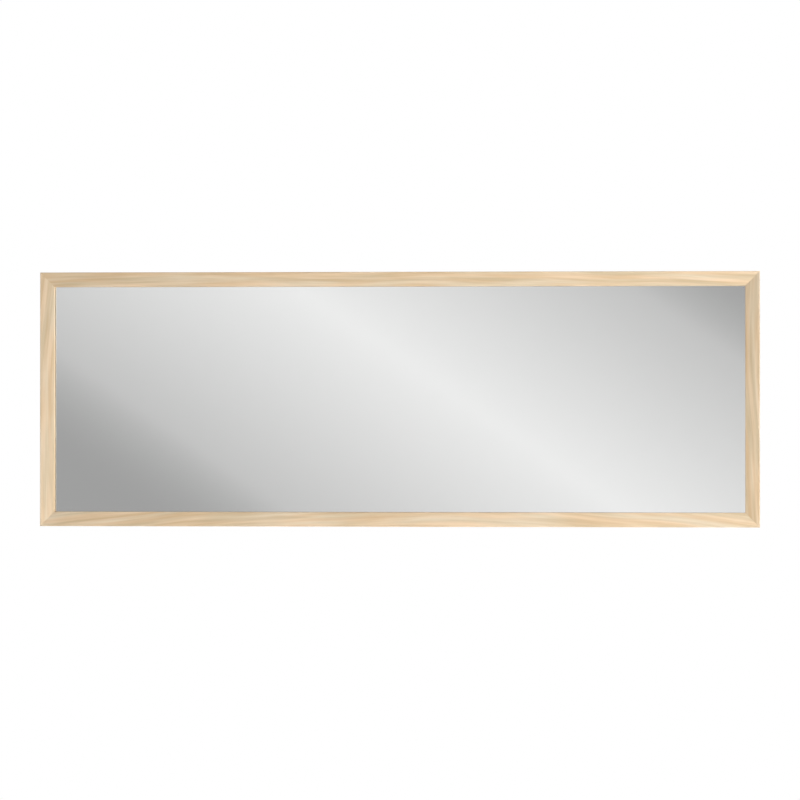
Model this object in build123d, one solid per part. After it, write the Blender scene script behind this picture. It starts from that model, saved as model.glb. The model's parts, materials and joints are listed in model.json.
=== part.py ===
from build123d import *
import math
import os

# Wall mirror in a mitred, veneer-wrapped moulding. Millimetres.
# The front faces -Y, X runs to the right and Z is up. The wall is the plane y = 0 and the
# origin is the point of it behind the middle of the glass.

# The pane and what lies behind it
glass_width = 1200.0
glass_height = 400.0
glass_thickness = 4.0
silvering_thickness = 0.2
foam_thickness = 0.8
backing_thickness = 3.0

# The moulding
face_width = 25.0
moulding_depth = 20.0
lip_depth = 8.0
rebate_width = 7.5
pane_clearance = 1.0
veneer_thickness = 0.5
outer_arris_radius = 1.3
inner_arris_radius = 0.9

# Strips that keep the pane central in the rebate
spacer_length = 30.0
spacer_offset = 450.0

# Steel points that hold the backing board
point_width = 6.0
point_tip_width = 3.0
point_bite = 6.0
point_reach = 9.0
point_thickness = 0.5
point_corner = 1.0
points_per_rail = 8
points_per_stile = 3

# V-shaped nails across the mitres
nail_leg = 5.2
nail_hook = 0.9
nail_gauge = 0.5
nail_height = 10.0
nail_sink = 0.3
nail_steps = (4.0, 10.5)

# Strap hangers and their D-rings
strap_width = 9.5
strap_gauge = 0.9
strap_reach = 37.0
strap_end_radius = 4.0
strap_hole_radius = 1.9
loop_clearance = 0.2
loop_end_angle = -95.0
ring_wire_radius = 1.1
ring_inner_width = 11.0
ring_corner_radius = 1.3
ring_straight_end = 7.5
wire_sides = 10
corner_chords = 3
bow_chords = 16
hanger_fall = 98.5
hanger_shift = 248.5

# Screws of the hangers, measured from the ring's leg
screw_steps = (20.0, 32.0)
screw_head_radius = 3.0
screw_head_height = 1.9
screw_rim_height = 0.9
screw_crown_radius = 1.7
screw_shank_radius = 1.5
screw_length = 12.0
screw_tip = 3.0
screw_point_radius = 0.1
screw_head_sides = 16
screw_shank_sides = 8
pilot_radius = 1.1

# Rubber bumpers, which set how far the frame stands off the wall
bumper_height = 5.0
bumper_radius = 6.0
bumper_top_radius = 4.4
bumper_edge = 0.8
bumper_inset = 40.0

# Worked out from the above
rebate_span = glass_width + 2 * pane_clearance
rebate_rise = glass_height + 2 * pane_clearance
back_width = face_width - rebate_width
frame_width = rebate_span + 2 * back_width
frame_height = rebate_rise + 2 * back_width
back_y = -bumper_height
front_y = back_y - moulding_depth
ledge_y = front_y + lip_depth
silvering_y = ledge_y + glass_thickness
foam_y = silvering_y + silvering_thickness
backing_y = foam_y + foam_thickness
backing_rear_y = backing_y + backing_thickness
loop_inner_radius = ring_wire_radius + loop_clearance
loop_outer_radius = loop_inner_radius + strap_gauge
ring_half_width = ring_inner_width / 2 + ring_wire_radius

# Each side of the frame: name, turn about Y from the top rail, length, distance from the middle
sides = (
    ("top_rail", 0, frame_width, frame_height / 2, points_per_rail),
    ("right_stile", 90, frame_height, frame_width / 2, points_per_stile),
    ("bottom_rail", 180, frame_width, frame_height / 2, points_per_rail),
    ("left_stile", 270, frame_height, frame_width / 2, points_per_stile),
)

# Each hanger: name, turn about Y that points its ring up, place of the ring's leg
stile_x = frame_width / 2 - back_width / 2
rail_z = frame_height / 2 - back_width / 2
hanger_z = frame_height / 2 - hanger_fall
hanger_x = -frame_width / 2 + hanger_shift
hangers = (
    ("left", 0, -stile_x, hanger_z),
    ("right", 0, stile_x, hanger_z),
    ("upper", -90, hanger_x, rail_z),
    ("lower", -90, hanger_x, -rail_z),
)


def round_front(section, outer_radius, inner_radius):
    """Round the two front corners of a section: x is depth, y runs out from the middle."""
    front = section.vertices().group_by(Axis.X)[0].sort_by(Axis.Y)
    section = fillet(front[-1], outer_radius)
    front = section.vertices().group_by(Axis.X)[0].sort_by(Axis.Y)
    return fillet(front[0], inner_radius)


def block(x_low, x_high, y_low, y_high):
    """A rectangle between two corners."""
    return Pos((x_low + x_high) / 2, (y_low + y_high) / 2) * Rectangle(x_high - x_low, y_high - y_low)


def core_section():
    """The fibreboard core, with the rebate cut out of its rear inner corner."""
    skin = veneer_thickness
    solid = block(front_y + skin, back_y, -face_width + skin, -skin)
    solid = round_front(solid, outer_arris_radius - skin, inner_arris_radius - skin)
    return solid - block(ledge_y, back_y, -face_width, -back_width)


def veneer_section():
    """The skin over the outer side, the face and the wall of the lip."""
    skin = veneer_thickness
    outline = block(front_y, back_y, -face_width, 0)
    outline = round_front(outline, outer_arris_radius, inner_arris_radius)
    inside = block(front_y + skin, back_y, -face_width + skin, -skin)
    inside = round_front(inside, outer_arris_radius - skin, inner_arris_radius - skin)
    return outline - inside - block(ledge_y, back_y, -face_width, -back_width)


def mitred(section, length):
    """A length of moulding along X, its outer side at z = 0, cut at 45 degrees at both ends."""
    bar = extrude(Plane.YZ * section, length / 2, both=True)
    for end in (1, -1):
        cut = Plane(origin=(end * length / 2, 0, 0), z_dir=(end, 0, -1))
        bar = split(bar, bisect_by=cut, keep=Keep.BOTTOM)
    return bar


def glazing_point():
    """One flat point: it tapers into the wood at +Z and lies on the backing at -Z."""
    half = point_width / 2
    tip = point_tip_width / 2
    outline = Polyline(
        (-tip, point_bite),
        (tip, point_bite),
        (half, 0),
        (half, point_corner - point_reach),
        (half - point_corner, -point_reach),
        (point_corner - half, -point_reach),
        (-half, point_corner - point_reach),
        (-half, 0),
        close=True,
    )
    return Pos(0, backing_rear_y, 0) * extrude(
        make_face(Plane.XZ * outline), point_thickness, dir=(0, 1, 0)
    )


def points_along(length, count):
    """The points of one side, evenly spaced, in the frame of that side."""
    pitch = (length - 2 * back_width) / count
    first = -pitch * (count - 1) / 2
    return [Pos(first + i * pitch, 0, -back_width) * glazing_point() for i in range(count)]


def v_nail(sunk):
    """One nail in the top right corner, its point outwards and a leg along each side."""
    centre_line = Polyline(
        (-nail_leg - nail_hook, nail_hook),
        (-nail_leg, 0),
        (0, 0),
        (0, -nail_leg),
        (nail_hook, -nail_leg - nail_hook),
    )
    plan = Plane.XZ * trace(centre_line, nail_gauge)
    return Pos(0, back_y - nail_sink - nail_height, 0) * extrude(plan, nail_height + sunk, dir=(0, 1, 0))


def v_nails(sunk=0.0):
    """All the nails. With sunk they reach the rear face, which makes them the cutters of their slots."""
    nails = []
    for turn, x_side, z_side in ((0, 1, 1), (90, 1, -1), (180, -1, -1), (270, -1, 1)):
        for step in nail_steps:
            place = Pos(x_side * frame_width / 2, 0, z_side * frame_height / 2)
            nails.append(place * Rot(0, turn, 0) * Pos(-step, 0, -step) * v_nail(sunk))
    return nails


def strap():
    """A strip curled round the ring's leg: its rear face on y = 0, the leg's axis along X."""
    top = loop_outer_radius
    sweep_angle = 180 - loop_end_angle
    outer = CenterArc((top, 0), loop_outer_radius, loop_end_angle, sweep_angle)
    inner = CenterArc((top, 0), loop_inner_radius, loop_end_angle, sweep_angle)
    section = make_face(
        [
            outer,
            inner,
            Line(outer @ 0, inner @ 0),
            Polyline(inner @ 1, (strap_gauge, -strap_reach), (0, -strap_reach), outer @ 1),
        ]
    )
    strip = extrude(Plane.YZ * section, strap_width / 2, both=True)
    strip = fillet(strip.edges().filter_by(Axis.Y).group_by(Axis.Z)[0], strap_end_radius)
    for step in screw_steps:
        strip -= Pos(0, 0, -step) * Rot(90, 0, 0) * Cylinder(strap_hole_radius, 4 * strap_gauge)
    return strip


def arc_points(x, z, radius, start, end, chords):
    """Points along an arc in the plane of the ring, both ends included."""
    turns = [math.radians(start + (end - start) * i / chords) for i in range(chords + 1)]
    return [(x + radius * math.cos(turn), z + radius * math.sin(turn)) for turn in turns]


def ring():
    """The D-ring hanging down: a straight leg, two rounded corners and a bow, bent in short chords."""
    reach = ring_half_width
    corner = ring_corner_radius
    leg_end = reach - corner
    middle_line = [(0, 0)]
    middle_line += arc_points(leg_end, -corner, corner, 90, 0, corner_chords)
    middle_line += arc_points(0, -ring_straight_end, reach, 0, -180, bow_chords)
    middle_line += arc_points(-leg_end, -corner, corner, 180, 90, corner_chords)
    path = Plane.XZ * Polyline(*middle_line, close=True)
    section = Plane.YZ * RegularPolygon(ring_wire_radius, wire_sides)
    return Pos(0, loop_outer_radius, 0) * sweep(section, path=path, transition=Transition.RIGHT)


def turned(stages, sides):
    """A turned shape in few faces: polygons of the given radii and heights along Y, joined in order."""
    sections = []
    for radius, y in stages:
        sections.append(Plane(origin=(0, y, 0), z_dir=(0, 1, 0)) * RegularPolygon(radius, sides))
    return loft(sections, ruled=True)


def screw():
    """A pan-head wood screw driven along -Y, the underside of its head at y = 0."""
    head = turned(
        (
            (screw_head_radius, 0),
            (screw_head_radius, screw_rim_height),
            (screw_crown_radius, screw_head_height),
        ),
        screw_head_sides,
    )
    shank = turned(
        (
            (screw_point_radius, -screw_length),
            (screw_shank_radius, screw_tip - screw_length),
            (screw_shank_radius, 0),
        ),
        screw_shank_sides,
    )
    return head + shank


def bumper():
    """A rubber bumper on the rear of the frame: a low cone with a bevelled flat top."""
    body = Rot(-90, 0, 0) * Cone(
        bumper_radius, bumper_top_radius, bumper_height, align=(Align.CENTER, Align.CENTER, Align.MIN)
    )
    body = chamfer(body.edges().group_by(Axis.Y)[-1], bumper_edge)
    return Pos(0, back_y, 0) * body


def plate(width, height, thickness, y_low):
    """A flat sheet centred on the mirror, its front face at y_low."""
    return Pos(0, y_low + thickness / 2, 0) * Box(width, thickness, height)


def spacers():
    """Strips between the edge of the pane and the rebate wall, three to a rail and one to a stile."""
    strips = []
    for end in (1, -1):
        z = end * (glass_height + pane_clearance) / 2
        for x in (-spacer_offset, 0, spacer_offset):
            strips.append(Pos(x, 0, z) * plate(spacer_length, pane_clearance, glass_thickness, ledge_y))
        x = end * (glass_width + pane_clearance) / 2
        strips.append(Pos(x, 0, 0) * plate(pane_clearance, spacer_length, glass_thickness, ledge_y))
    return strips


def build_nodes():
    """Every piece in place, by name."""
    nodes = {}
    points = []
    hanger_screws = []
    pilots = []

    for name, turn, x, z in hangers:
        place = Pos(x, back_y, z) * Rot(0, turn, 0)
        nodes["hanger_strap_" + name] = place * strap()
        nodes["hanger_ring_" + name] = place * ring()
        for step in screw_steps:
            seat = place * Pos(0, strap_gauge, -step)
            hanger_screws.append(seat * screw())
            pilots.append(seat * Rot(90, 0, 0) * Cylinder(
                pilot_radius, screw_length, align=(Align.CENTER, Align.CENTER, Align.MIN)
            ))

    nail_slots = v_nails(sunk=nail_sink)
    for name, turn, length, distance, count in sides:
        place = Rot(0, turn, 0) * Pos(0, 0, distance)
        side_points = [place * point for point in points_along(length, count)]
        core = place * mitred(core_section(), length)
        for cutter in side_points + nail_slots + pilots:
            core -= cutter
        nodes[name] = core
        nodes[name + "_veneer"] = place * mitred(veneer_section(), length)
        points += side_points

    for z_name, z_side in (("top", 1), ("bottom", -1)):
        for x_name, x_side in (("left", -1), ("right", 1)):
            place = Pos(x_side * (frame_width / 2 - bumper_inset), 0, z_side * rail_z)
            nodes["bumper_" + z_name + "_" + x_name] = place * bumper()

    nodes["mirror_glass"] = plate(glass_width, glass_height, glass_thickness, ledge_y)
    nodes["silvering"] = plate(glass_width, glass_height, silvering_thickness, silvering_y)
    nodes["foam_sheet"] = plate(glass_width, glass_height, foam_thickness, foam_y)
    nodes["backing_board"] = plate(glass_width, glass_height, backing_thickness, backing_y)
    nodes["glass_spacers"] = Compound(spacers())
    nodes["glazing_points"] = Compound(points)
    nodes["v_nails"] = Compound(v_nails())
    nodes["hanger_screws"] = Compound(hanger_screws)
    return nodes


os.makedirs("parts", exist_ok=True)
for name, shape in build_nodes().items():
    export_step(shape, f"parts/{name}.step")
    size = shape.bounding_box().size
    print(f"{name:22s} {size.X:8.1f} {size.Y:7.1f} {size.Z:7.1f}  solids {len(shape.solids())}")
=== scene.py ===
import json
import math

import bmesh
import bpy
from mathutils import Euler, Matrix, Vector


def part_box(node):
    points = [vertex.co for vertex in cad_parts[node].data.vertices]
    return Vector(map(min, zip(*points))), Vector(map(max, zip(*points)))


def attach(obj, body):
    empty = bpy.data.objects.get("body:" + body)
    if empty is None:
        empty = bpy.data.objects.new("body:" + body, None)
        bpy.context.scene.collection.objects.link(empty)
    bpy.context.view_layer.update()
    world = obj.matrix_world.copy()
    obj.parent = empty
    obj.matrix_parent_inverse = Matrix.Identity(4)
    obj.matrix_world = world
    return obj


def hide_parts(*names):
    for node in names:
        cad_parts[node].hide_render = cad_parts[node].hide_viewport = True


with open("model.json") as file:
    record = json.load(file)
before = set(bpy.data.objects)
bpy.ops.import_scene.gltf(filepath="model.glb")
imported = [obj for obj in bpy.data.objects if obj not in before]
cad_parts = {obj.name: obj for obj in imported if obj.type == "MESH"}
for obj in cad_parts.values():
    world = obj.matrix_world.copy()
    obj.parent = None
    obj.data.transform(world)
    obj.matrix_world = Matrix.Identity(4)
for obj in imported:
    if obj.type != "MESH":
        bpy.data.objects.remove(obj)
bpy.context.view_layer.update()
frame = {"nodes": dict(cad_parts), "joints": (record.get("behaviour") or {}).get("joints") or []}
mm = 0.001
print("frame loaded,", len(frame["nodes"]), "nodes")

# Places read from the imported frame, in metres. The front faces -Y and the wall is y = 0.
paneLow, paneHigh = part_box("mirror_glass")
coatLow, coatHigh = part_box("silvering")
boardLow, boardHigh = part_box("backing_board")
railLow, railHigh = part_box("top_rail_veneer")
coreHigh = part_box("top_rail")[1]
frameWidth = railHigh.x - railLow.x
frameHeight = 2 * railHigh.z
faceWidth = railHigh.z - railLow.z
frontY, backY = railLow.y, railHigh.y
ledgeY = paneLow.y
skin = 0.5 * mm             # thickness of the veneer
boardGap = 1.0 * mm         # from the edge of the backing board to the wall of the rebate
backWidth = coreHigh.z + skin - (boardHigh.z + boardGap)    # the moulding behind the rebate
weld = 0.002 * mm           # points closer than this become one
bevelAngle = math.radians(30)       # edges sharper than this get a bevel
crispAngle = math.radians(38)       # and those sharper than this aren't smoothed over

# name, turn about Y from the top rail, length, distance from the middle
sides = (
    ("top_rail", 0, frameWidth, frameHeight / 2),
    ("right_stile", 90, frameHeight, frameWidth / 2),
    ("bottom_rail", 180, frameWidth, frameHeight / 2),
    ("left_stile", 270, frameHeight, frameWidth / 2),
)

# name and turn of each hanger; its ring's leg is the axis of its joint
hangers = (("left", 0), ("right", 0), ("upper", -90), ("lower", -90))
legOf = {joint["name"].split("_")[0]: Vector(joint["pos_m"]) for joint in frame["joints"]}


# helpers that build node trees
def put(tree, kind, feeds=None, **setup):
    node = tree.nodes.new(kind)
    for key, value in setup.items():
        setattr(node, key, value)
    for key, value in (feeds or {}).items():
        if isinstance(value, bpy.types.NodeSocket):
            tree.links.new(value, node.inputs[key])
        else:
            node.inputs[key].default_value = value
    return node


def maths(tree, operation, first, second=0.0, third=0.0):
    return put(tree, "ShaderNodeMath", {0: first, 1: second, 2: third}, operation=operation).outputs[0]


def minus(tree, value):
    return maths(tree, "MULTIPLY", value, -1.0)


def point(tree, x=0.0, y=0.0, z=0.0):
    return put(tree, "ShaderNodeCombineXYZ", {0: x, 1: y, 2: z}).outputs[0]


def choose(tree, kind, values):
    node = put(tree, "GeometryNodeIndexSwitch", data_type=kind)
    while len(node.index_switch_items) < len(values):
        node.index_switch_items.new()
    tree.links.new(put(tree, "GeometryNodeInputIndex").outputs[0], node.inputs[0])
    for count, value in enumerate(values):
        if isinstance(value, bpy.types.NodeSocket):
            tree.links.new(value, node.inputs[count + 1])
        else:
            node.inputs[count + 1].default_value = value
    return node.outputs[0]


def newTree(name, sizes):
    tree = bpy.data.node_groups.new(name, "GeometryNodeTree")
    tree.interface.new_socket("Mesh", in_out="OUTPUT", socket_type="NodeSocketGeometry")
    for key, value in sizes.items():
        kind = "NodeSocketInt" if isinstance(value, int) else "NodeSocketFloat"
        tree.interface.new_socket(key, in_out="INPUT", socket_type=kind).default_value = value
    given = put(tree, "NodeGroupInput")
    return tree, {key: given.outputs[key] for key in sizes}


def pointsAt(tree, places):
    feeds = {"Count": len(places), "Position": choose(tree, "VECTOR", places)}
    return put(tree, "GeometryNodePoints", feeds).outputs[0]


def straight(tree, start, end):
    feeds = {"Start": start, "End": end}
    return put(tree, "GeometryNodeCurvePrimitiveLine", feeds).outputs[0]


def circle(tree, radius, count):
    feeds = {"Resolution": count, "Radius": radius}
    return put(tree, "GeometryNodeCurvePrimitiveCircle", feeds).outputs[0]


def rectangle(tree, width, height):
    feeds = {"Width": width, "Height": height}
    return put(tree, "GeometryNodeCurvePrimitiveQuadrilateral", feeds).outputs[0]


def rounded(tree, line, radii, steps):
    feeds = {"Curve": line, "Count": steps, "Radius": choose(tree, "FLOAT", radii)}
    return put(tree, "GeometryNodeFilletCurve", feeds, mode="POLY").outputs[0]


def outline(tree, corners, radii, steps, closed=True):
    # a line through the corners, each rounded by its radius
    line = put(tree, "GeometryNodePointsToCurves", {"Points": pointsAt(tree, corners)}).outputs[0]
    line = put(tree, "GeometryNodeSetSplineCyclic", {0: line, "Cyclic": closed}).outputs[0]
    return rounded(tree, line, radii, steps)


def sweep(tree, path, section, caps=True):
    feeds = {"Curve": path, "Profile Curve": section, "Fill Caps": caps}
    return put(tree, "GeometryNodeCurveToMesh", feeds).outputs[0]


def lathe(tree, corners, radii, steps, count):
    # corners are (radius, height), from the top of the axis down to its foot
    base = 1 * mm       # radius of the circle that carries the profile
    places = [
        point(tree, maths(tree, "SUBTRACT", radius, base), minus(tree, height))
        for radius, height in corners
    ]
    profile = outline(tree, places, radii, steps, closed=False)
    body = sweep(tree, circle(tree, base, count), profile, caps=False)
    feeds = {"Geometry": body, "Distance": weld}
    return put(tree, "GeometryNodeMergeByDistance", feeds).outputs[0]


def moved(tree, shape, shift=(0, 0, 0), turn=(0, 0, 0), scale=(1, 1, 1)):
    feeds = {"Geometry": shape, "Translation": shift, "Rotation": turn, "Scale": scale}
    return put(tree, "GeometryNodeTransform", feeds).outputs[0]


def rotation(tree, angles):
    return put(tree, "FunctionNodeEulerToRotation", {0: angles}).outputs[0]


def onPoints(tree, shape, places, turns=None):
    # the shape at each place, turned about Y by so many degrees
    feeds = {"Points": pointsAt(tree, places), "Instance": shape}
    if turns:
        spin = choose(tree, "VECTOR", [(0, math.radians(turn), 0) for turn in turns])
        feeds["Rotation"] = rotation(tree, spin)
    return put(tree, "GeometryNodeInstanceOnPoints", feeds).outputs[0]


def joined(tree, shapes):
    node = put(tree, "GeometryNodeJoinGeometry")
    for shape in shapes:
        tree.links.new(shape, node.inputs[0])
    return node.outputs[0]


def close(tree, shape, material):
    real = put(tree, "GeometryNodeRealizeInstances", {0: shape}).outputs[0]
    dressed = put(tree, "GeometryNodeSetMaterial", {"Geometry": real, "Material": material}).outputs[0]
    put(tree, "NodeGroupOutput", {0: dressed})
    return tree


# helpers that make and place the pieces
def addObject(name, data):
    item = bpy.data.objects.new(name, data)
    bpy.context.scene.collection.objects.link(item)
    return item


def plainMesh(holder):
    # the finished shape of an object as a mesh of its own
    graph = bpy.context.evaluated_depsgraph_get()
    mesh = bpy.data.meshes.new_from_object(holder.evaluated_get(graph))
    bpy.data.objects.remove(holder)
    return mesh


def grow(name, tree, sizes):
    # run the tree once and keep the plain mesh
    holder = addObject(name + "_holder", bpy.data.meshes.new(name + "_seed"))
    maker = holder.modifiers.new("maker", "NODES")
    maker.node_group = tree
    for item in tree.interface.items_tree:
        if item.item_type == "SOCKET" and item.in_out == "INPUT":
            maker[item.identifier] = sizes[item.name]
    mesh = plainMesh(holder)
    mesh.name = name
    return mesh


def soften(mesh, width, steps=2):
    # a fine bevel along every sharp edge, then smooth shading
    shape = bmesh.new()
    shape.from_mesh(mesh)
    bmesh.ops.remove_doubles(shape, verts=shape.verts, dist=weld)
    if width > 0:
        edges = [e for e in shape.edges if e.is_manifold and e.calc_face_angle(0) > bevelAngle]
        bmesh.ops.bevel(
            shape, geom=edges, offset=width, segments=steps, profile=0.5,
            affect="EDGES", clamp_overlap=True,
        )
    for face in shape.faces:
        face.smooth = True
    shape.to_mesh(mesh)
    shape.free()
    mesh.set_sharp_from_angle(angle=crispAngle)
    return mesh


def place(name, mesh, body, nodes, material=None):
    piece = addObject(name, mesh)
    if material:
        mesh.materials.clear()
        mesh.materials.append(material)
    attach(piece, body)
    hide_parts(*nodes)
    return piece


def slab(name, low, high):
    # a closed sheet between two corners
    shape = bmesh.new()
    bmesh.ops.create_cube(shape, size=1.0)
    for corner in shape.verts:
        corner.co = Vector((low[i] if corner.co[i] < 0 else high[i] for i in range(3)))
    mesh = bpy.data.meshes.new(name)
    shape.to_mesh(mesh)
    shape.free()
    return mesh


# helpers for the finishes
def newFinish(name, colour, roughness, metallic=0.0, **constants):
    material = bpy.data.materials.new(name)
    material.use_nodes = True
    tree = material.node_tree
    shader = tree.nodes["Principled BSDF"]
    shader.inputs["Base Color"].default_value = (*colour, 1)
    shader.inputs["Roughness"].default_value = roughness
    shader.inputs["Metallic"].default_value = metallic
    for key, value in constants.items():
        shader.inputs[key.replace("_", " ")].default_value = value
    return material, tree, shader


def spot(tree, scale=(1, 1, 1), turn=(0, 0, 0), shift=(0, 0, 0)):
    where = put(tree, "ShaderNodeTexCoord").outputs["Object"]
    feeds = {"Vector": where, "Location": shift, "Rotation": turn, "Scale": scale}
    return put(tree, "ShaderNodeMapping", feeds).outputs[0]


def grain(tree, vector, scale, detail=2.0, rough=0.5):
    feeds = {"Vector": vector, "Scale": scale, "Detail": detail, "Roughness": rough}
    return put(tree, "ShaderNodeTexNoise", feeds).outputs["Fac"]


def span(tree, value, low, high, toLow=0.0, toHigh=1.0, smooth=False):
    feeds = {0: value, 1: low, 2: high, 3: toLow, 4: toHigh}
    kind = "SMOOTHSTEP" if smooth else "LINEAR"
    return put(tree, "ShaderNodeMapRange", feeds, interpolation_type=kind).outputs[0]


def tint(tree, value, stops):
    node = put(tree, "ShaderNodeValToRGB", {0: value})
    bar = node.color_ramp
    while len(bar.elements) < len(stops):
        bar.elements.new(0.5)
    for mark, (where, colour) in zip(bar.elements, stops):
        mark.position = where
        mark.color = (*colour, 1)
    return node.outputs[0]


def shade(tree, colour, factor):
    # the colour made darker or lighter by a factor near 1
    scaled = put(tree, "ShaderNodeVectorMath", {0: colour, 3: factor}, operation="SCALE")
    return scaled.outputs[0]


def drive(tree, shader, name, value):
    tree.links.new(value, shader.inputs[name])


def relief(tree, shader, height, distance, strength):
    feeds = {"Height": height, "Distance": distance, "Strength": strength}
    drive(tree, shader, "Normal", put(tree, "ShaderNodeBump", feeds).outputs[0])


# oak veneer, one finish for each member so that the grain runs along it
oakLook = {
    "pale": (0.800, 0.634, 0.448),
    "mid": (0.712, 0.543, 0.351),
    "deep": (0.625, 0.461, 0.277),
    "warm": (1.030, 0.985, 0.935),      # the two hues that the streaks lean to
    "cool": (0.975, 1.012, 1.040),
    # streaks for each metre along and across the grain, then detail and roughness of the noise
    "streaks": {
        "broad": (1.6, 46.0, 2.0, 0.5),
        "main": (9.0, 170.0, 2.0, 0.5),
        "fine": (5.0, 330.0, 3.0, 0.6),
        "hue": (7.0, 110.0, 1.0, 0.5),
        "pore": (48.0, 1500.0, 1.0, 0.5),
    },
    "cloud": 3.4,
    "shares": {"fine": 0.30, "broad": 0.30, "main": 0.55, "cloud": 0.15},   # in the tone
    "contrast": (0.53, 0.77),       # the closer together, the stronger the grain
    "driftRate": 3.1,
    "drift": 0.014,                 # how far the lines wander, in metres
    "slant": 0.8,                   # how the lines lean as they go into the wood
    "depthRate": 0.3,
    "paintedSheenReach": (-0.3, 0.6),       # along the member, where the painted sheen of the paler end begins and is full
    "poreReach": (0.60, 0.78),
    "poreDark": 0.07,
    "poreRough": 0.12,
    "poreDeep": 0.6,
    "roughness": 0.46,
    "roughSpread": 0.16,
    "relief": 0.12 * mm,
    "lipEdge": (0.3 * mm, 0.1 * mm),    # from the lip's wall outwards, where its painted light begins and is full
    "lipPaintedLight": 0.35,                    # how much paler the painted light makes that wall
}

# archHeight and archLength bend the grain lines along the member, in metres, shift picks its part of the
# noise and paintedSheenEnd paints a sheen of light on its right or upper end, making it paler
oakMembers = {
    "top_rail": {
        "turn": 0, "archHeight": 0.020, "archLength": 1.45, "archCentre": -0.15,
        "shift": 0.37, "tone": 1.010, "paintedSheenEnd": 0.00,
    },
    "right_stile": {
        "turn": 90, "archHeight": 0.014, "archLength": 0.62, "archCentre": 0.10,
        "shift": 1.91, "tone": 1.00, "paintedSheenEnd": 0.10,
    },
    "bottom_rail": {
        "turn": 0, "archHeight": 0.046, "archLength": 1.20, "archCentre": 0.03,
        "shift": 3.13, "tone": 1.01, "paintedSheenEnd": 0.10,
    },
    "left_stile": {
        "turn": 90, "archHeight": 0.022, "archLength": 0.70, "archCentre": -0.12,
        "shift": 5.57, "tone": 0.95, "paintedSheenEnd": 0.00,
    },
}


def oakVeneer(name, lipAt):
    look, member = oakLook, oakMembers[name]
    material, tree, shader = newFinish("oak_" + name, look["mid"], look["roughness"])
    # after the turn x runs along the member, z across it and y into it
    where = spot(tree, turn=(0, math.radians(member["turn"]), 0))
    along, depth, across = put(tree, "ShaderNodeSeparateXYZ", {0: where}).outputs
    fromCentre = maths(tree, "SUBTRACT", along, member["archCentre"])
    phase = maths(tree, "MULTIPLY", fromCentre, math.pi / member["archLength"])
    arch = maths(tree, "MULTIPLY", maths(tree, "COSINE", phase), member["archHeight"])
    feeds = {"W": along, "Scale": look["driftRate"], "Detail": 1.0}
    drift = put(tree, "ShaderNodeTexNoise", feeds, noise_dimensions="1D").outputs["Fac"]
    bend = maths(tree, "ADD", arch, maths(tree, "MULTIPLY", drift, look["drift"]))
    lean = maths(tree, "MULTIPLY", depth, look["slant"])
    line = maths(tree, "ADD", maths(tree, "SUBTRACT", across, bend), lean)

    def streak(alongRate, acrossRate, detail, rough):
        vector = point(
            tree,
            maths(tree, "MULTIPLY", along, alongRate),
            maths(tree, "MULTIPLY", depth, acrossRate * look["depthRate"]),
            maths(tree, "MULTIPLY_ADD", line, acrossRate, member["shift"] * 10),
        )
        return grain(tree, vector, 1.0, detail, rough)

    layers = {key: streak(*rates) for key, rates in look["streaks"].items()}
    layers["cloud"] = grain(tree, spot(tree, shift=(member["shift"], 0, 0)), look["cloud"], 1.0)
    mixed = 0.0
    for key, share in look["shares"].items():
        mixed = maths(tree, "MULTIPLY_ADD", layers[key], share, mixed)
    # painted sheen: the right or upper end is made paler in the colour, standing in for the light that falls
    # from that side
    paintedSheen = span(tree, along, *look["paintedSheenReach"], 0.0, member["paintedSheenEnd"], smooth=True)
    level = maths(tree, "ADD", span(tree, mixed, *look["contrast"]), paintedSheen)
    wood = tint(tree, level, ((0.0, look["deep"]), (0.5, look["mid"]), (1.0, look["pale"])))
    hue = tint(tree, layers["hue"], ((0.36, look["warm"]), (0.64, look["cool"])))
    wood = put(tree, "ShaderNodeVectorMath", {0: wood, 1: hue}, operation="MULTIPLY").outputs[0]
    openPore = span(tree, layers["pore"], *look["poreReach"], smooth=True)
    tone = maths(tree, "MULTIPLY_ADD", openPore, -look["poreDark"], member["tone"])
    # painted light: the lip's inner wall and arris are made paler in the colour, standing in for the side
    # light that falls on that wall
    begins, full = (lipAt + edge for edge in look["lipEdge"])
    lip = span(tree, maths(tree, "ABSOLUTE", across), begins, full, 0.0, look["lipPaintedLight"])
    drive(tree, shader, "Base Color", shade(tree, wood, maths(tree, "ADD", tone, lip)))
    smoothest = look["roughness"] - look["roughSpread"] / 2
    rough = maths(tree, "MULTIPLY_ADD", layers["fine"], look["roughSpread"], smoothest)
    drive(tree, shader, "Roughness", maths(tree, "MULTIPLY_ADD", openPore, look["poreRough"], rough))
    height = maths(tree, "MULTIPLY_ADD", openPore, -look["poreDeep"], layers["fine"])
    relief(tree, shader, height, look["relief"], 0.35)
    return material


# fibreboard of the cores
fibreLook = {
    "dark": (0.40, 0.275, 0.17),
    "mid": (0.51, 0.37, 0.24),
    "pale": (0.62, 0.47, 0.325),
    "roughness": 0.86,
    "fibre": 900.0,         # for each metre, as are the next two
    "cloud": 28.0,
    "fleck": 520.0,
    "fleckDark": 0.22,
    "relief": 0.05 * mm,
}


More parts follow.
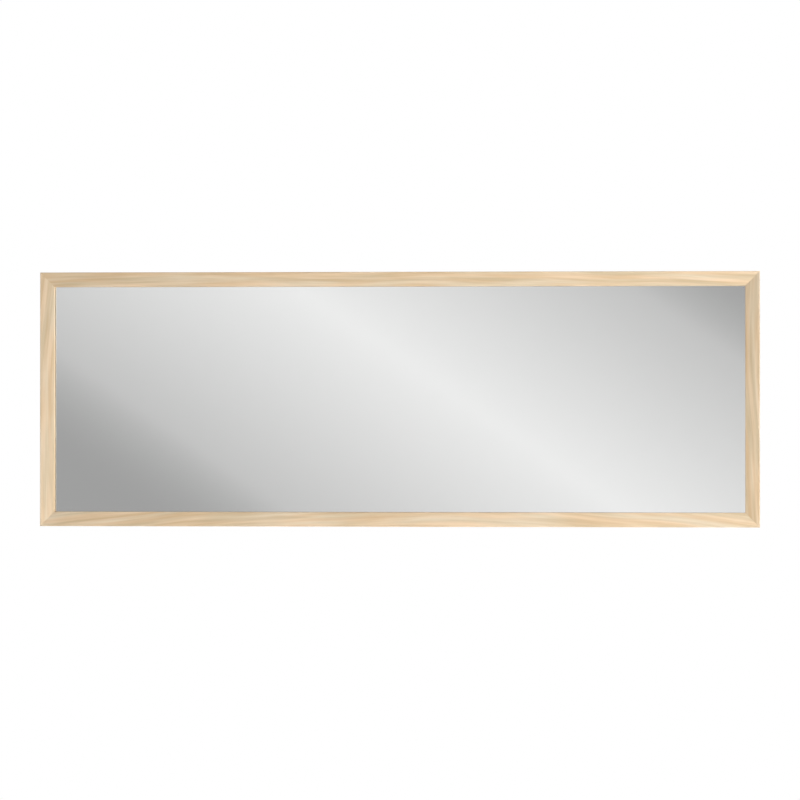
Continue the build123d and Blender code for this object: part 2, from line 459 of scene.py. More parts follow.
def fibreboard(name, turn):
    look = fibreLook
    material, tree, shader = newFinish(name, look["mid"], look["roughness"])
    where = spot(tree, turn=(0, math.radians(turn), 0), scale=(0.35, 1, 1))
    fibre = grain(tree, where, look["fibre"], 4.0, 0.65)
    cloud = grain(tree, where, look["cloud"], 2.0)
    flecks = span(tree, grain(tree, where, look["fleck"], 2.0), 0.62, 0.72)
    level = maths(tree, "MULTIPLY_ADD", cloud, 0.35, maths(tree, "MULTIPLY", fibre, 0.65))
    wood = tint(tree, level, ((0.30, look["dark"]), (0.52, look["mid"]), (0.72, look["pale"])))
    tone = maths(tree, "MULTIPLY_ADD", flecks, -look["fleckDark"], 1.0)
    drive(tree, shader, "Base Color", shade(tree, wood, tone))
    drive(tree, shader, "Roughness", span(tree, fibre, 0.3, 0.7, 0.80, 0.94))
    relief(tree, shader, fibre, look["relief"], 0.35)
    return material


# glass and silvering
glassLook = {"colour": (0.990, 0.992, 0.990), "index": 1.52, "marks": 0.012}
silverLook = {"dark": (0.920, 0.922, 0.920), "pale": (0.932, 0.931, 0.928), "haze": 0.008}


def paneGlass():
    look = glassLook
    material, tree, shader = newFinish(
        "pane_glass", look["colour"], 0.0, IOR=look["index"], Transmission_Weight=1.0,
    )
    # a trace of handling marks in the polish
    marks = grain(tree, spot(tree, scale=(1, 1, 2.2)), 9.0, 3.0)
    drive(tree, shader, "Roughness", span(tree, marks, 0.55, 0.80, 0.0, look["marks"]))
    return material


def silverCoat():
    look = silverLook
    material, tree, shader = newFinish("silver_coat", look["pale"], 0.0, metallic=1.0)
    tone = grain(tree, spot(tree), 2.2, 1.0)
    drive(tree, shader, "Base Color", tint(tree, tone, ((0.3, look["dark"]), (0.7, look["pale"]))))
    haze = grain(tree, spot(tree), 40.0, 2.0)
    drive(tree, shader, "Roughness", span(tree, haze, 0.4, 0.8, 0.0, look["haze"]))
    return material


# hardboard of the back
boardLook = {
    "dark": (0.140, 0.082, 0.043),
    "mid": (0.205, 0.124, 0.068),
    "pale": (0.285, 0.182, 0.107),
    "roughness": 0.78,
    "fibre": 260.0,
    "cloud": 11.0,
    "wirePitch": 1.5 * mm,
    "wireMark": 0.07,
    "relief": 0.12 * mm,
}


def hardboard():
    # the rear of the board keeps the print of the wire mesh it was pressed on
    look = boardLook
    material, tree, shader = newFinish("hardboard", look["mid"], look["roughness"])
    where = spot(tree)
    split = put(tree, "ShaderNodeSeparateXYZ", {0: where})
    wire = 2 * math.pi / look["wirePitch"]
    waves = [maths(tree, "SINE", maths(tree, "MULTIPLY", split.outputs[way], wire)) for way in (0, 2)]
    mesh = maths(tree, "MULTIPLY", *waves)
    fibre = grain(tree, where, look["fibre"], 6.0, 0.7)
    cloud = grain(tree, where, look["cloud"], 4.0)
    level = maths(tree, "MULTIPLY_ADD", cloud, 0.25, maths(tree, "MULTIPLY", fibre, 0.75))
    wood = tint(tree, level, ((0.34, look["dark"]), (0.50, look["mid"]), (0.68, look["pale"])))
    tone = maths(tree, "MULTIPLY_ADD", mesh, look["wireMark"], 1.0)
    drive(tree, shader, "Base Color", shade(tree, wood, tone))
    drive(tree, shader, "Roughness", span(tree, fibre, 0.3, 0.7, 0.70, 0.88))
    relief(tree, shader, maths(tree, "MULTIPLY_ADD", fibre, 0.8, mesh), look["relief"], 0.5)
    return material


# the plainer finishes: two tones, roughness, grain for each metre and how deep it is
plainLooks = {
    "backing_paint": {
        "dark": (0.16, 0.17, 0.18), "pale": (0.22, 0.23, 0.24),
        "roughness": 0.60, "scale": 300.0, "depth": 0.05 * mm,
    },
    "white_foam": {
        "dark": (0.72, 0.72, 0.71), "pale": (0.84, 0.84, 0.83),
        "roughness": 0.92, "scale": 900.0, "depth": 0.20 * mm,
    },
    "spacer_strip": {
        "dark": (0.30, 0.31, 0.32), "pale": (0.38, 0.39, 0.40),
        "roughness": 0.70, "scale": 600.0, "depth": 0.05 * mm,
    },
    "point_steel": {
        "dark": (0.34, 0.35, 0.37), "pale": (0.50, 0.51, 0.52), "metallic": 1.0,
        "roughness": 0.34, "scale": 700.0, "depth": 0.02 * mm, "stretch": (1, 1, 0.12),
    },
    "nail_steel": {
        "dark": (0.36, 0.36, 0.37), "pale": (0.56, 0.56, 0.56), "metallic": 1.0,
        "roughness": 0.42, "scale": 900.0, "depth": 0.03 * mm,
    },
    "plated_strap": {
        "dark": (0.38, 0.39, 0.40), "pale": (0.56, 0.56, 0.56), "metallic": 1.0,
        "roughness": 0.32, "scale": 420.0, "depth": 0.02 * mm,
    },
    "plated_wire": {
        "dark": (0.44, 0.45, 0.46), "pale": (0.62, 0.62, 0.62), "metallic": 1.0,
        "roughness": 0.22, "scale": 500.0, "depth": 0.012 * mm,
    },
    "screw_steel": {
        "dark": (0.42, 0.40, 0.35), "pale": (0.60, 0.57, 0.51), "metallic": 1.0,
        "roughness": 0.30, "scale": 800.0, "depth": 0.015 * mm,
    },
    "bumper_rubber": {
        "dark": (0.030, 0.030, 0.032), "pale": (0.052, 0.052, 0.055),
        "roughness": 0.62, "scale": 1100.0, "depth": 0.06 * mm,
    },
}


def mottled(name, dark, pale, roughness, scale, depth, metallic=0.0, stretch=(1, 1, 1)):
    # a finish of one colour with a fine grain and a slow change of tone
    material, tree, shader = newFinish(name, pale, roughness, metallic)
    fine = grain(tree, spot(tree, scale=stretch), scale, 3.0, 0.6)
    slow = grain(tree, spot(tree), scale * 0.06, 2.0)
    level = maths(tree, "MULTIPLY_ADD", fine, 0.55, maths(tree, "MULTIPLY", slow, 0.45))
    drive(tree, shader, "Base Color", tint(tree, level, ((0.32, dark), (0.68, pale))))
    roughest = min(1.0, roughness * 1.18)
    drive(tree, shader, "Roughness", span(tree, fine, 0.3, 0.7, roughness * 0.82, roughest))
    relief(tree, shader, fine, depth, 0.4)
    return material


oak = {name: oakVeneer(name, distance - faceWidth) for name, turn, length, distance in sides}
glass, silver, board = paneGlass(), silverCoat(), hardboard()
finish = {name: mottled(name, **look) for name, look in plainLooks.items()}
print("finishes made")

# moulding: the oak skin of each member, swept and mitred
skinSizes = {
    "Front": -frontY,
    "Back": -backY,
    "Lip End": -ledgeY,
    "Face Width": faceWidth,
    "Skin": skin,
    "Outer Arris": 1.3 * mm,
    "Inner Arris": 0.9 * mm,
    "Arris Steps": 8,
    "Length": 1.0,          # this and the next two are set for each member
    "Distance": 1.0,
    "Turn": 0.0,
}
skinEdge = 0.08 * mm


def skinTree(material):
    tree, size = newTree("moulding_skin", skinSizes)
    front, back, lip = size["Front"], size["Back"], size["Lip End"]
    wide, thick = size["Face Width"], size["Skin"]
    innerWide = maths(tree, "SUBTRACT", wide, thick)
    innerFront = maths(tree, "SUBTRACT", front, thick)
    corners = [
        point(tree, back, 0.0),
        point(tree, front, 0.0),
        point(tree, front, wide),
        point(tree, lip, wide),
        point(tree, lip, innerWide),
        point(tree, innerFront, innerWide),
        point(tree, innerFront, thick),
        point(tree, back, thick),
    ]
    outer, inner = size["Outer Arris"], size["Inner Arris"]
    innerRound = maths(tree, "SUBTRACT", inner, thick)
    outerRound = maths(tree, "SUBTRACT", outer, thick)
    radii = [0.0, outer, inner, 0.0, 0.0, innerRound, outerRound, 0.0]
    section = outline(tree, corners, radii, size["Arris Steps"])
    half = maths(tree, "MULTIPLY", size["Length"], 0.5)
    bar = sweep(tree, straight(tree, point(tree, minus(tree, half)), point(tree, half)), section)
    # the ends lean inwards at 45 degrees, so each length shortens with its distance from the outer side
    here = put(tree, "ShaderNodeSeparateXYZ", {0: put(tree, "GeometryNodeInputPosition").outputs[0]})
    lean = maths(tree, "ADD", 1.0, maths(tree, "DIVIDE", here.outputs[2], half))
    shorter = point(tree, maths(tree, "MULTIPLY", here.outputs[0], lean), here.outputs[1], here.outputs[2])
    bar = put(tree, "GeometryNodeSetPosition", {"Geometry": bar, "Position": shorter}).outputs[0]
    bar = moved(tree, bar, shift=point(tree, 0.0, 0.0, size["Distance"]))
    bar = moved(tree, bar, turn=rotation(tree, point(tree, 0.0, size["Turn"], 0.0)))
    return close(tree, bar, material)


for name, turn, length, distance in sides:
    values = {**skinSizes, "Length": length, "Distance": distance, "Turn": math.radians(turn)}
    mesh = soften(grow(name + "_skin", skinTree(oak[name]), values), skinEdge)
    place(name + "_skin", mesh, "mirror", [name + "_veneer"])
    frame["nodes"][name].material_slots[0].material = fibreboard("fibreboard_" + name, turn)
print("moulding made")

# the pane, its silvering and what lies behind
paneLook = {"gap": 0.03 * mm, "arris": 0.35 * mm, "boardArris": 0.25 * mm}
gap = Vector((0, paneLook["gap"], 0))
pane = soften(slab("pane", paneLow + gap, paneHigh - gap), paneLook["arris"], steps=1)
place("pane", pane, "mirror", ["mirror_glass"], glass)

coat = slab("silver_coat", coatLow, coatHigh)
coat.materials.append(silver)
coat.materials.append(finish["backing_paint"])
for face in coat.polygons:
    face.material_index = 0 if face.normal.y < -0.5 else 1
place("silver_coat", coat, "mirror", ["silvering"])

backing = soften(slab("backing", boardLow, boardHigh), paneLook["boardArris"])
place("backing", backing, "mirror", ["backing_board"], board)
frame["nodes"]["foam_sheet"].material_slots[0].material = finish["white_foam"]
frame["nodes"]["glass_spacers"].material_slots[0].material = finish["spacer_strip"]
print("pane made")

# flat points that hold the board
pointSizes = {
    "Width": 6.0 * mm,
    "Tip Width": 3.0 * mm,
    "Bite": 6.0 * mm,
    "Reach": 9.0 * mm,
    "Corner": 1.2 * mm,
    "Corner Steps": 4,
    "Thickness": 0.5 * mm,
    "Per Rail": 8,
    "Per Stile": 3,
}
pointEdge = 0.06 * mm


def pointTree():
    tree, size = newTree("glazing_points", pointSizes)
    half = maths(tree, "MULTIPLY", size["Width"], 0.5)
    tip = maths(tree, "MULTIPLY", size["Tip Width"], 0.5)
    left, leftTip, bite = minus(tree, half), minus(tree, tip), minus(tree, size["Bite"])
    corners = [
        point(tree, leftTip, bite), point(tree, tip, bite), point(tree, half, 0.0),
        point(tree, half, size["Reach"]), point(tree, left, size["Reach"]), point(tree, left, 0.0),
    ]
    radii = [0.0, 0.0, 0.0, size["Corner"], size["Corner"], 0.0]
    section = outline(tree, corners, radii, size["Corner Steps"])
    path = straight(tree, (0, 0, 0), point(tree, minus(tree, size["Thickness"])))
    flat = moved(tree, sweep(tree, path, section), turn=(0, 0, math.radians(-90)))
    rows = []
    for name, turn, length, distance in sides:
        count = size["Per Rail"] if "rail" in name else size["Per Stile"]
        pitch = maths(tree, "DIVIDE", length - 2 * backWidth, count)
        steps = maths(tree, "SUBTRACT", count, 1.0)
        first = maths(tree, "MULTIPLY", steps, maths(tree, "MULTIPLY", pitch, -0.5))
        start = point(tree, first, boardHigh.y, distance - backWidth)
        feeds = {"Count": count, "Start Location": start, "Offset": point(tree, pitch)}
        row = put(tree, "GeometryNodeMeshLine", feeds).outputs[0]
        row = put(tree, "GeometryNodeInstanceOnPoints", {"Points": row, "Instance": flat}).outputs[0]
        rows.append(moved(tree, row, turn=(0, math.radians(turn), 0)))
    return close(tree, joined(tree, rows), finish["point_steel"])


mesh = soften(grow("glazing_points", pointTree(), pointSizes), pointEdge, steps=1)
place("glazing_point_set", mesh, "mirror", ["glazing_points"])

# V-shaped nails across the mitres
nailSizes = {
    "Leg": 5.2 * mm,
    "Hook": 0.9 * mm,
    "Vee Round": 0.5 * mm,
    "Hook Round": 0.4 * mm,
    "Gauge": 0.5 * mm,
    "Height": 10.0 * mm,
    "Sink": 0.3 * mm,
    "First Step": 4.0 * mm,
    "Second Step": 10.5 * mm,
}
nailEdge = 0.05 * mm


def nailTree():
    tree, size = newTree("corner_nails", nailSizes)
    hook, end = size["Hook"], minus(tree, size["Leg"])
    far = maths(tree, "SUBTRACT", end, hook)
    corners = [
        point(tree, far, hook), point(tree, end, 0.0), (0, 0, 0),
        point(tree, 0.0, end), point(tree, hook, far),
    ]
    radii = [0.0, size["Hook Round"], size["Vee Round"], size["Hook Round"], 0.0]
    path = outline(tree, corners, radii, 4, closed=False)
    nail = sweep(tree, path, rectangle(tree, size["Gauge"], size["Height"]))
    rear = maths(tree, "SUBTRACT", backY, size["Sink"])
    middle = maths(tree, "MULTIPLY_ADD", size["Height"], -0.5, rear)
    nail = moved(tree, nail, turn=(math.radians(90), 0, 0))
    nail = moved(tree, nail, shift=point(tree, 0.0, middle, 0.0))
    steps = [minus(tree, size[key]) for key in ("First Step", "Second Step")]
    pair = onPoints(tree, nail, [point(tree, step, 0.0, step) for step in steps])
    x, z = frameWidth / 2, frameHeight / 2
    corners = [(x, 0, z), (x, 0, -z), (-x, 0, -z), (-x, 0, z)]
    return close(tree, onPoints(tree, pair, corners, (0, 90, 180, 270)), finish["nail_steel"])


mesh = soften(grow("corner_nails", nailTree(), nailSizes), nailEdge, steps=1)
place("corner_nails", mesh, "mirror", ["v_nails"])

# screws of the hangers, measured from the ring's leg down the strap
strapGauge = 0.9 * mm
screwSteps = (20.0 * mm, 32.0 * mm)
threadTurns = 7
screwSizes = {
    "Head Radius": 3.0 * mm,
    "Head Height": 1.9 * mm,
    "Head Round": 1.35 * mm,
    "Rim Round": 0.2 * mm,
    "Neck": 0.8 * mm,
    "Shank Radius": 1.5 * mm,
    "Root Radius": 1.1 * mm,
    "Length": 12.0 * mm,
    "Tip": 3.0 * mm,
    "Recess Reach": 1.75 * mm,
    "Recess Foot": 0.35,        # shares of its reach
    "Recess Width": 0.28,
    "Recess Depth": 1.3 * mm,
    "Recess Proud": 0.05 * mm,
    "Seat": backY + strapGauge,
}


def screwTree():
    tree, size = newTree("hanger_screws", screwSizes)
    head, high = size["Head Radius"], size["Head Height"]
    shank, root = size["Shank Radius"], size["Root Radius"]
    foot = minus(tree, size["Length"])
    taper = maths(tree, "ADD", foot, size["Tip"])
    neck = minus(tree, size["Neck"])
    corners = [(0.0, high), (head, high), (head, 0.0), (shank, 0.0), (shank, neck)]
    radii = [0.0, size["Head Round"], size["Rim Round"], 0.0, 0.0]
    for turn in range(threadTurns):
        share = (turn + 0.3) / threadTurns
        for part, radius in ((0.0, root), (0.5, shank)):
            corners.append((radius, maths(tree, "MULTIPLY", taper, share + part / threadTurns)))
            radii.append(0.0)
    corners += [(root, taper), (0.0, foot)]
    radii += [0.0, 0.0]
    blank = lathe(tree, corners, radii, 6, 32)

    # the cross recess is cut by two wedges that stand a little out of the head
    reach, deep = size["Recess Reach"], size["Recess Depth"]
    narrow = maths(tree, "MULTIPLY", reach, size["Recess Foot"])
    feeds = {"Vertices": 4, "Radius Top": reach, "Radius Bottom": narrow, "Depth": deep}
    wedge = put(tree, "GeometryNodeMeshCone", feeds).outputs[0]
    rise = maths(tree, "ADD", maths(tree, "SUBTRACT", high, deep), size["Recess Proud"])
    thin = point(tree, 1.0, size["Recess Width"], 1.0)
    wedge = moved(tree, wedge, shift=point(tree, 0.0, 0.0, rise), scale=thin)
    cut = put(tree, "GeometryNodeMeshBoolean", {"Mesh 1": blank}, operation="DIFFERENCE", solver="EXACT")
    for turn in (0, 90):
        wing = moved(tree, wedge, turn=(0, 0, math.radians(turn)))
        tree.links.new(wing, cut.inputs["Mesh 2"])

    # the head faces the wall, along +Y
    screw = moved(tree, cut.outputs[0], turn=(math.radians(-90), 0, 0))
    screw = moved(tree, screw, shift=point(tree, 0.0, size["Seat"], 0.0))
    pair = onPoints(tree, screw, [(0, 0, -step) for step in screwSteps])
    places = [(legOf[name].x, 0, legOf[name].z) for name, turn in hangers]
    sets = onPoints(tree, pair, places, [turn for name, turn in hangers])
    return close(tree, sets, finish["screw_steel"])


mesh = soften(grow("hanger_screws", screwTree(), screwSizes), 0.0)
place("hanger_screw_set", mesh, "mirror", ["hanger_screws"])
print("fixings made")

# strap hangers: a punched strip with rounded edges, curled round the ring's leg
strapSizes = {
    "width": 9.5 * mm,
    "gauge": strapGauge,
    "reach": 37.0 * mm,
    "endRadius": 4.0 * mm,
    "endSteps": 10,
    "holeRadius": 1.9 * mm,
    "holeSides": 32,
    "legRadius": 1.3 * mm,      # inside of the curl
    "curl": 275.0,              # degrees
    "bends": 26,
    "edge": 0.12 * mm,
    "crisp": 42.0,              # degrees
}


def strapMesh(size):
    gauge, half = size["gauge"], size["width"] / 2
    outer = size["legRadius"] + gauge
    middle = outer - gauge / 2
    curl = math.radians(size["curl"])
    top = middle * curl
    foot, radius = -size["reach"], size["endRadius"]
    plan = bpy.data.curves.new("strap_plan", "CURVE")
    plan.dimensions = "2D"
    plan.fill_mode = "BOTH"
    plan.extrude = gauge / 2 - size["edge"]
    plan.bevel_depth = size["edge"]
    plan.bevel_resolution = 2
    plan.offset = -size["edge"]

    def loop(places):
        spline = plan.splines.new("POLY")
        spline.points.add(len(places) - 1)
        for dot, (x, y) in zip(spline.points, places):
            dot.co = (x, y, 0, 1)
        spline.use_cyclic_u = True

    def arc(x, y, r, start, end, count):
        turns = [start + (end - start) * i / count for i in range(count + 1)]
        return [(x + r * math.cos(a), y + r * math.sin(a)) for a in turns]

    flat, steps = half - radius, size["endSteps"]
    loop([(half, top), (-half, top)]
         + arc(-flat, foot + radius, radius, math.pi, 1.5 * math.pi, steps)
         + arc(flat, foot + radius, radius, 1.5 * math.pi, 2 * math.pi, steps))
    for step in screwSteps:
        loop(arc(0, -step, size["holeRadius"], 0, 2 * math.pi, size["holeSides"])[:-1])
    mesh = plainMesh(addObject("strap_plan", plan))
    shape = bmesh.new()
    shape.from_mesh(mesh)
    bmesh.ops.remove_doubles(shape, verts=shape.verts, dist=2 * weld)
    # cut across where it bends, then wrap what lies above the leg's height round the leg
    for bend in range(size["bends"]):
        everything = shape.verts[:] + shape.edges[:] + shape.faces[:]
        at = (0, top * bend / size["bends"], 0)
        bmesh.ops.bisect_plane(shape, geom=everything, plane_co=at, plane_no=(0, 1, 0))
    for dot in shape.verts:
        x, s, t = dot.co.x, dot.co.y, dot.co.z + gauge / 2
        if s <= 0:
            dot.co = Vector((x, t, s))
        else:
            angle = math.pi - s / middle
            dot.co = Vector((x, outer + (outer - t) * math.cos(angle), (outer - t) * math.sin(angle)))
    bmesh.ops.recalc_face_normals(shape, faces=shape.faces)
    for face in shape.faces:
        face.smooth = True
    shape.to_mesh(mesh)
    shape.free()
    mesh.set_sharp_from_angle(angle=math.radians(size["crisp"]))
    return mesh


strapPattern = strapMesh(strapSizes)
for name, turn in hangers:
    leg = legOf[name]
    mesh = strapPattern.copy()
    mesh.transform(Matrix.Translation((leg.x, backY, leg.z)) @ Matrix.Rotation(math.radians(turn), 4, "Y"))
    place("strap_" + name, mesh, "mirror", ["hanger_strap_" + name], finish["plated_strap"])

# D-rings of bent wire
ringSizes = {
    "Wire": 1.1 * mm,
    "Wire Sides": 20,
    "Width": 13.2 * mm,         # between the middles of the wire
    "Height": 14.1 * mm,
    "Leg Round": 1.3 * mm,
    "Bow Round": 6.59 * mm,
    "Bend Steps": 14,
}


def ringTree():
    tree, size = newTree("d_ring", ringSizes)
    radii = [size[key] for key in ("Leg Round", "Leg Round", "Bow Round", "Bow Round")]
    bent = rounded(tree, rectangle(tree, size["Width"], size["Height"]), radii, size["Bend Steps"])
    tube = sweep(tree, bent, circle(tree, size["Wire"], size["Wire Sides"]), caps=False)
    tube = moved(tree, tube, shift=point(tree, 0.0, maths(tree, "MULTIPLY", size["Height"], -0.5)))
    tube = moved(tree, tube, turn=(math.radians(90), 0, 0))
    return close(tree, tube, finish["plated_wire"])


ringPattern = soften(grow("d_ring", ringTree(), ringSizes), 0.0)
for name, turn in hangers:
    mesh = ringPattern.copy()
    mesh.transform(Matrix.Translation(legOf[name]) @ Matrix.Rotation(math.radians(turn), 4, "Y"))
    place("ring_" + name, mesh, name + "_ring", ["hanger_ring_" + name])

# rubber bumpers
bumperSizes = {
    "Height": 5.0 * mm,
    "Foot Radius": 6.0 * mm,
    "Top Radius": 4.4 * mm,
    "Top Round": 0.9 * mm,
    "Foot Round": 0.15 * mm,
}


def bumperTree():
    tree, size = newTree("bumper", bumperSizes)
    high = size["Height"]
    corners = [(0.0, high), (size["Top Radius"], high), (size["Foot Radius"], 0.0), (0.0, 0.0)]
    body = lathe(tree, corners, [0.0, size["Top Round"], size["Foot Round"], 0.0], 6, 48)
    return close(tree, moved(tree, body, turn=(math.radians(-90), 0, 0)), finish["bumper_rubber"])


bumperPattern = soften(grow("bumper", bumperTree(), bumperSizes), 0.0)
for row in ("top", "bottom"):
    for side in ("left", "right"):
        node = "bumper_" + row + "_" + side
        low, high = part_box(node)
        mesh = bumperPattern.copy()
        mesh.transform(Matrix.Translation(((low.x + high.x) / 2, backY, (low.z + high.z) / 2)))
        place(node + "_rubber", mesh, "mirror", [node])
print("hangers and bumpers made")

# camera, a little to the right, where the right wall of the lip is out of sight
cameraLook = {
    "place": Vector((0.62, -8.0, -0.05)),
    "sensor": 36.0,
    "fillWidth": 0.90,          # share of the picture's width that the mirror takes
    "lift": 0.7 / 800,          # how far above the middle it stands, in picture widths
}
cameraAt = cameraLook["place"]


def cornersSeen(facing):
    # the four front corners as the lens sees them: bottom left, bottom right, top left, top right
    rays = []
    for z in (-frameHeight / 2, frameHeight / 2):
        for x in (-frameWidth / 2, frameWidth / 2):
            ray = facing.transposed() @ (Vector((x, frontY, z)) - cameraAt)
            rays.append(Vector((ray.x, ray.y)) / -ray.z)
    return rays


def setCamera(look):
    # turn to the middle of the mirror, level it and fill the stated share of the picture
    away = frontY - cameraAt.y
    yaw = sum(math.atan2(x - cameraAt.x, away) for x in (-frameWidth / 2, frameWidth / 2)) / 2
    pitch = sum(math.atan2(z - cameraAt.z, away) for z in (-frameHeight / 2, frameHeight / 2)) / 2
    facing = Euler((math.radians(90) + pitch, 0, -yaw)).to_matrix()
    lowLeft, lowRight, highLeft, highRight = cornersSeen(facing)
    level = (lowRight - lowLeft) + (highRight - highLeft)
    facing = facing @ Matrix.Rotation(math.atan2(level.y, level.x), 3, "Z")
    lowLeft, lowRight, highLeft, highRight = cornersSeen(facing)
    wide = ((lowRight - lowLeft) + (highRight - highLeft)).x / 2
    middle = (lowLeft + lowRight + highLeft + highRight) / 4
    lens = bpy.data.cameras.new("camera")
    lens.sensor_width = look["sensor"]
    lens.lens = look["sensor"] * look["fillWidth"] / wide
    lens.shift_x = middle.x * look["fillWidth"] / wide
    lens.shift_y = middle.y * look["fillWidth"] / wide - look["lift"]
    lens.dof.use_dof = False
    lens.clip_start, lens.clip_end = 0.05, 200.0
    camera = addObject("camera", lens)
    camera.location = cameraAt
    camera.rotation_euler = facing.to_euler()
    bpy.context.scene.camera = camera
    print("lens", round(lens.lens, 1), "shift", round(lens.shift_x, 5), round(lens.shift_y, 5))


setCamera(cameraLook)
bpy.context.scene.view_settings.view_transform = "Standard"

# floor, and cards that only shiny things show: one behind the camera and one that lies on the floor.
# The sizes of their band of light are metres on the mirror.
stageLook = {
    "floorZ": -1.4,
    "floorSize": 60.0,
    "floorColour": (0.80, 0.80, 0.80),
    "floorGlow": 0.32,
    "floorFade": (0.9, 2.6),        # from the middle, where the floor begins to turn white and is white
    "cardY": -13.0,
    "cardWidth": 64.0,
    "cardHeight": 40.0,
    "lowCardNearY": -0.7,
    "lowCardLift": 5 * mm,
    "lowCardRise": -0.35,       # how fast its band runs on, against the upright card
    "bandPeak": 0.93,           # brightness of the card in the middle of the band
    "bandShoulder": 0.60,
    "bandGround": 0.385,
    "bandReach": (0.324, 0.475),    # from the middle to the shoulder and to the ground
    "bandPitch": 1.286,
    "bandAcross": (0.5635, 0.826),
    "bandShift": 0.0604,
}


def plane(name, width, height):
    shape = bmesh.new()
    bmesh.ops.create_grid(shape, x_segments=1, y_segments=1, size=0.5)
    bmesh.ops.scale(shape, vec=(width, height, 1), verts=shape.verts)
    mesh = bpy.data.meshes.new(name)
    shape.to_mesh(mesh)
    shape.free()
    sheet = addObject(name, mesh)
    return sheet


def bareMaterial(name):
    material = bpy.data.materials.new(name)
    material.use_nodes = True
    tree = material.node_tree
    tree.nodes.remove(tree.nodes["Principled BSDF"])
    return material, tree, tree.nodes["Material Output"]


def seen(tree):
    # 1 for rays that show the background: straight, mirrored or through glass
    ray = put(tree, "ShaderNodeLightPath").outputs
    direct = maths(tree, "ADD", ray["Is Camera Ray"], ray["Is Glossy Ray"])
    feeds = {0: direct, 1: ray["Is Transmission Ray"]}
    return put(tree, "ShaderNodeMath", feeds, operation="ADD", use_clamp=True).outputs[0]


def glow(tree, strength):
    feeds = {"Color": (1, 1, 1, 1), "Strength": strength}
    return put(tree, "ShaderNodeEmission", feeds).outputs[0]


def floorMaterial(look):
    # pale floor: it takes the object's shadow near it and is plain white further off
    material, tree, output = bareMaterial("floor")
    matt = put(tree, "ShaderNodeBsdfDiffuse", {"Color": (*look["floorColour"], 1)}).outputs[0]
    lift = glow(tree, maths(tree, "MULTIPLY", seen(tree), look["floorGlow"]))
    near = put(tree, "ShaderNodeAddShader", {0: matt, 1: lift}).outputs[0]
    distance = put(tree, "ShaderNodeVectorMath", {0: spot(tree)}, operation="LENGTH").outputs["Value"]
    away = maths(tree, "MULTIPLY", span(tree, distance, *look["floorFade"], smooth=True), seen(tree))
    top = put(tree, "ShaderNodeMixShader", {0: away, 1: near, 2: glow(tree, 1.0)}).outputs[0]
    below = put(tree, "ShaderNodeBsdfTransparent").outputs[0]
    back = put(tree, "ShaderNodeNewGeometry").outputs["Backfacing"]
    both = put(tree, "ShaderNodeMixShader", {0: back, 1: top, 2: below}).outputs[0]
    tree.links.new(both, output.inputs[0])
    return material


def cardMaterial(name, look, rise=1.0, start=0.0):
    # a soft slanting band of light on a grey ground, for the mirror to reflect
    material, tree, output = bareMaterial(name)
    across = look["bandAcross"]
    silverY = ledgeY + (coatLow.y - ledgeY) / glassLook["index"]
    throw = (silverY - look["cardY"]) / (silverY - cameraAt.y)
    zoom = 1 + throw            # metres on the card for a metre on the mirror
    middle = zoom * look["bandShift"] - throw * (across[0] * cameraAt.x + across[1] * cameraAt.z)
    pitch = zoom * look["bandPitch"]
    shoulder, ground = (zoom * reach for reach in look["bandReach"])
    where = put(tree, "ShaderNodeSeparateXYZ", {0: spot(tree)})
    height = maths(tree, "MULTIPLY_ADD", where.outputs[1], rise, start)
    slant = maths(tree, "MULTIPLY", where.outputs[0], across[0])
    slant = maths(tree, "MULTIPLY_ADD", height, across[1], slant)
    slant = maths(tree, "SUBTRACT", slant, middle)
    away = maths(tree, "ABSOLUTE", maths(tree, "WRAP", slant, pitch / 2, -pitch / 2))
    inner = span(tree, away, 0.0, shoulder, look["bandPeak"], look["bandShoulder"])
    fall = span(tree, away, shoulder, ground)
    ease = maths(tree, "MULTIPLY", fall, maths(tree, "SUBTRACT", 2.0, fall))
    drop = maths(tree, "MULTIPLY", ease, look["bandShoulder"] - look["bandGround"])
    tree.links.new(glow(tree, maths(tree, "SUBTRACT", inner, drop)), output.inputs[0])
    return material


floor = plane("floor", stageLook["floorSize"], stageLook["floorSize"])
floor.location = (0, 0, stageLook["floorZ"])
floor.data.materials.append(floorMaterial(stageLook))

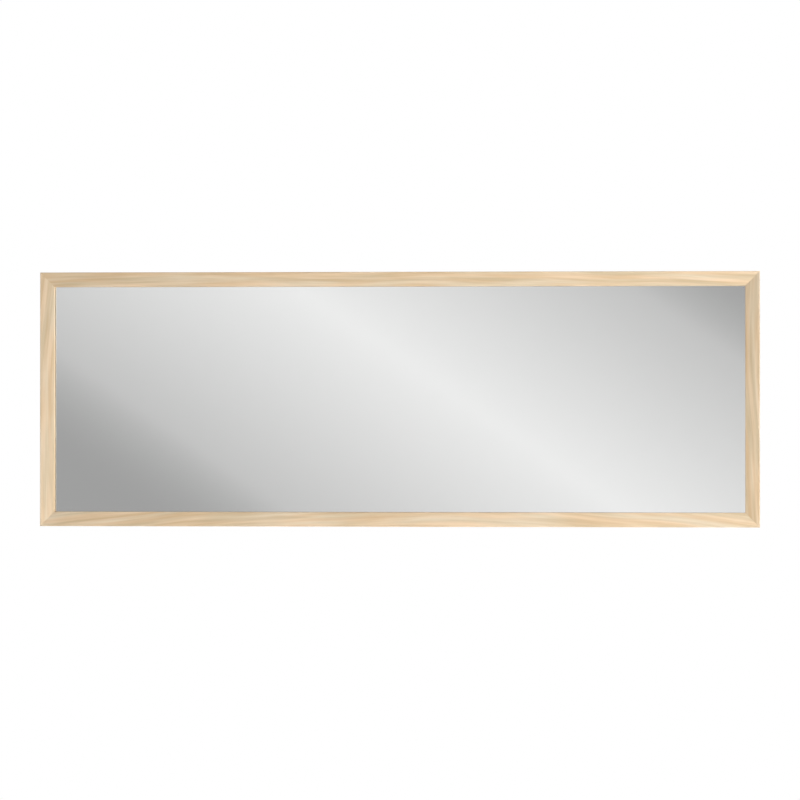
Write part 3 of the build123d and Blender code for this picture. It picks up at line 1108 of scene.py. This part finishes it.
card = plane("light_card", stageLook["cardWidth"], stageLook["cardHeight"])
card.location = (0, stageLook["cardY"], 0)
card.rotation_euler = (math.radians(90), 0, 0)
card.data.materials.append(cardMaterial("card", stageLook))

lowReach = (stageLook["lowCardNearY"] - stageLook["cardY"]) / 2
lowRise = stageLook["lowCardRise"]
lowStart = stageLook["floorZ"] + lowRise * lowReach
lowCard = plane("low_card", stageLook["cardWidth"], 2 * lowReach)
lowCard.location = (0, stageLook["cardY"] + lowReach, stageLook["floorZ"] + stageLook["lowCardLift"])
lowCard.data.materials.append(cardMaterial("low_card", stageLook, lowRise, lowStart))
for sheet in (card, lowCard):
    sheet.visible_camera = sheet.visible_diffuse = sheet.visible_shadow = False

# name: place, size, power in watts and whether shiny things show it
lamps = {
    "key": {"at": (7.2, -1.9, -0.5), "size": (2.4, 1.4), "watts": 390.0, "shown": True},
    "low": {"at": (0.1, -1.9, -1.2), "size": (2.4, 0.3), "watts": 17.0, "shown": False},
    "rear": {"at": (-1.6, 3.2, 2.2), "size": (2.4, 1.6), "watts": 95.0, "shown": False},
    "rim": {"at": (2.4, 2.6, 1.0), "size": (1.2, 1.8), "watts": 20.0, "shown": False},
}
for name, lamp in lamps.items():
    light = bpy.data.lights.new(name, "AREA")
    light.shape = "RECTANGLE"
    light.size, light.size_y = lamp["size"]
    light.energy = lamp["watts"]
    holder = addObject(name, light)
    holder.location = lamp["at"]
    holder.rotation_euler = (-Vector(lamp["at"])).to_track_quat("-Z", "Y").to_euler()
    holder.visible_glossy = holder.visible_transmission = lamp["shown"]
    holder.visible_camera = False

# how bright the world is to the eye and as a light
worldLook = {"white": 1.0, "fill": 0.56}
world = bpy.data.worlds.new("studio")
bpy.context.scene.world = world
world.use_nodes = True
tree = world.node_tree
strength = put(tree, "ShaderNodeMix", {0: seen(tree), 2: worldLook["fill"], 3: worldLook["white"]}).outputs[0]
tree.nodes["Background"].inputs["Color"].default_value = (1, 1, 1, 1)
tree.links.new(strength, tree.nodes["Background"].inputs["Strength"])
print("stage made")
